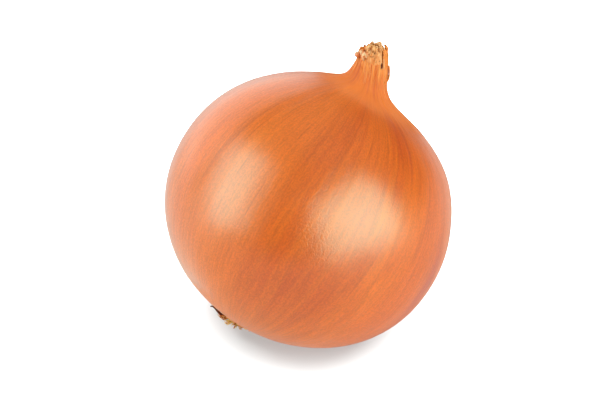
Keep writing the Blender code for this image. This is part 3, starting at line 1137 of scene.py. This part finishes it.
def floor_plane(name, height, colour, glow, tint="FFFFFF", right=FLOOR_REACH, near=-FLOOR_REACH):
    """A level sheet whose right and near edges are this far from the bulb."""
    azimuth = settings().stage.azimuth
    sideways = Vector((math.cos(azimuth), math.sin(azimuth), 0))
    away = Vector((-math.sin(azimuth), math.cos(azimuth), 0))
    left, far, up = -FLOOR_REACH, FLOOR_REACH, Vector((0, 0, height))
    corners = ((left, near), (right, near), (right, far), (left, far))
    mesh = bpy.data.meshes.new(name)
    mesh.from_pydata([sideways * x + away * y + up for x, y in corners], [], [(0, 1, 2, 3)])
    plane = put_in_scene(name, mesh)
    material, tree = new_material(name)
    surface = {
        "Base Color": rgb(colour),
        "Roughness": 0.9,
        "Specular IOR Level": 0.0,
        "Emission Color": rgb(tint),
        "Emission Strength": glow,
    }
    finish_material(tree, surface)
    mesh.materials.append(material)
    return plane


def softbox(name, azimuth, elevation, width, height, power, colour="FFFFFF", shine=False, roll=0.0):
    """A light at this angle to the right of the camera and above the floor.

    One that shines is seen only in the gloss of the skin, and any other only lights it.
    """
    light = bpy.data.lights.new(name, "AREA")
    light.shape = "RECTANGLE"
    light.size, light.size_y = width, height
    light.energy = power * math.pi * width * height
    light.color = rgb(colour)[:3]
    lamp = put_in_scene(name, light)
    turn = settings().stage.azimuth + math.radians(azimuth)
    towards = direction(turn, math.radians(elevation))
    turned = towards.to_track_quat("Z", "Y").to_matrix() @ Matrix.Rotation(math.radians(roll), 3, "Z")
    lamp.location = bulb_frame().translation + towards * LAMP_DISTANCE
    lamp.rotation_euler = turned.to_euler()
    lamp.visible_camera = False
    lamp.visible_glossy = shine
    lamp.visible_diffuse = not shine


def place_camera():
    """Looks at a spot a little above the bulb's middle and to its left."""
    stage = settings().stage
    back = direction(stage.azimuth, stage.elevation)
    sideways = Vector((math.cos(stage.azimuth), math.sin(stage.azimuth), 0))
    aim = bulb_frame().translation - sideways * 0.55 * MM + back.cross(sideways) * 1.55 * MM
    data = bpy.data.cameras.new("camera")
    data.lens = 100
    data.sensor_width = 36
    camera = put_in_scene("camera", data)
    camera.location = aim + back * stage.distance
    camera.rotation_euler = back.to_track_quat("Z", "Y").to_euler()
    bpy.context.scene.camera = camera


def light_apart(floor, floor_lamp):
    """Gives the floor a light of its own, so that the shadow on it is small and soft."""
    floor_only = bpy.data.collections.new("lit_by_the_table_light")
    floor_only.objects.link(floor)
    rest = bpy.data.collections.new("not_the_table")
    rest.objects.link(floor)
    rest.collection_objects[0].light_linking.link_state = "EXCLUDE"
    for lamp in bpy.context.scene.objects:
        if lamp.type == "LIGHT":
            receivers = floor_only if lamp.name == floor_lamp else rest
            lamp.light_linking.receiver_collection = receivers


# ---------------------------------------------------------------- the operators


class ONION_OT_stage(bpy.types.Operator):
    """Make the floor, the camera and the lights"""

    bl_idname = "onion.stage"
    bl_label = "Stage"

    def execute(self, context):
        context.scene.view_settings.view_transform = "Standard"
        world = bpy.data.worlds.new("soft_white_room")
        context.scene.world = world
        world.use_nodes = True
        background = world.node_tree.nodes["Background"]
        background.inputs["Color"].default_value = (1, 1, 1, 1)
        background.inputs["Strength"].default_value = 0.15

        # The lit white table that is seen, and under it a grey one that lights the onion from below.
        floor = floor_plane("white_floor", 0, "848686", glow=0.43)
        floor.visible_diffuse = floor.visible_glossy = floor.visible_shadow = False
        bounce = floor_plane("bounce_floor", -0.2 * MM, "E8E8E8", glow=0.08)
        bounce.visible_camera = False
        # A bright card, behind on the left, is seen only in the gloss along the lower rim.
        card = floor_plane("rim_card", 0.1 * MM, "000000", 1.22, "C8FAFF", right=-0.045, near=-0.02)
        card.visible_camera = card.visible_diffuse = card.visible_shadow = False

        place_camera()
        # Azimuth and elevation in degrees, width and height in m, and power.
        softbox("left_gloss", -74, 30, 0.48, 0.76, 5.2, "A8FFF6", shine=True, roll=20)
        softbox("right_gloss", 44, 10, 0.90, 1.08, 7.2, "B8FFE2", shine=True, roll=10)
        softbox("rim_gloss", -146, 8, 1.02, 0.86, 1.6, shine=True)
        softbox("left_softbox", -84, 20, 0.40, 0.60, 4.9)
        softbox("right_softbox", 44, 20, 0.42, 0.42, 5.75)
        softbox("overhead_fill", 140, 70, 0.8, 0.8, 1.5)
        softbox("table_light", 52, 81, 1.15, 1.15, 27.0)
        light_apart(floor, "table_light")
        return {"FINISHED"}


class ONION_OT_skin(bpy.types.Operator):
    """Make the papery skin of the bulb and neck"""

    bl_idname = "onion.skin"
    bl_label = "Skin"

    def execute(self, context):
        shape, skin = settings().shape, settings().skin
        material = papery_skin()
        values = {"Neck End": shape.neck_end, "Radius": shape.radius, "Material": material}
        for label, _ in SKIN_INPUTS:
            if label not in values:
                values[label] = getattr(skin, label.lower().replace(" ", "_"))
        mesh = run_tree(skin_tree(), outline_mesh(skin_outline()), values)
        close_up(mesh, merge=DOUBLES)
        add_piece("skin", settle(mesh), material, ("bulb",))
        return {"FINISHED"}


class ONION_OT_neck(bpy.types.Operator):
    """Make the torn leaf ends, the fibres and the curl of skin at the neck"""

    bl_idname = "onion.neck"
    bl_label = "Neck"

    def execute(self, context):
        rng = np.random.default_rng(settings().skin.seed)
        leaf = straw_leaf()
        nodes = ("leaf_end_1", "leaf_end_2", "leaf_end_3")
        add_piece("neck_tatters", neck_tatters(rng), leaf, nodes)
        add_piece("neck_wads", neck_wads(rng), leaf)
        add_piece("neck_curl", neck_curl(rng), inner_skin(), ("skin_curl",))
        add_piece("neck_core", neck_core(), neck_pith())
        add_piece("neck_fibres", neck_fibres(rng, leaf), leaf)
        return {"FINISHED"}


class ONION_OT_roots(bpy.types.Operator):
    """Make the corky root plate, its collar and the tuft of dried roots"""

    bl_idname = "onion.roots"
    bl_label = "Roots"

    def execute(self, context):
        rng = np.random.default_rng(settings().skin.seed + 1)
        add_piece("root_plate", root_plate(), root_cork())
        add_piece("root_collar", root_collar(), straw_leaf())
        fibre = root_fibre()
        tuft = settle(make_fibres(root_guides(rng), fibre, sides=6, waver=0.5 * MM))
        add_piece("root_tuft", tuft, fibre, [f"root_{k}" for k in range(1, 8)])
        return {"FINISHED"}


class ONION_PT_panel(bpy.types.Panel):
    """Lists the pieces of the onion"""

    bl_idname = "ONION_PT_panel"
    bl_label = "Onion"
    bl_space_type = "VIEW_3D"
    bl_region_type = "UI"
    bl_category = "Onion"

    def draw(self, context):
        for step in STEPS:
            self.layout.operator(step.bl_idname)


class OnionSettings(bpy.types.PropertyGroup):
    """All settings of the onion."""

    shape: bpy.props.PointerProperty(type=OnionShape)
    skin: bpy.props.PointerProperty(type=OnionSkin)
    ends: bpy.props.PointerProperty(type=OnionEnds)
    stage: bpy.props.PointerProperty(type=OnionStage)


STEPS = (ONION_OT_stage, ONION_OT_skin, ONION_OT_neck, ONION_OT_roots)
CLASSES = (OnionShape, OnionSkin, OnionEnds, OnionStage, OnionSettings, *STEPS, ONION_PT_panel)


def register():
    for cls in CLASSES:
        bpy.utils.register_class(cls)
    bpy.types.Scene.onion = bpy.props.PointerProperty(type=OnionSettings)


def unregister():
    del bpy.types.Scene.onion
    for cls in reversed(CLASSES):
        bpy.utils.unregister_class(cls)


def main():
    register()
    for step in STEPS:
        area, name = step.bl_idname.split(".")
        getattr(getattr(bpy.ops, area), name)()


if __name__ == "__main__":
    main()
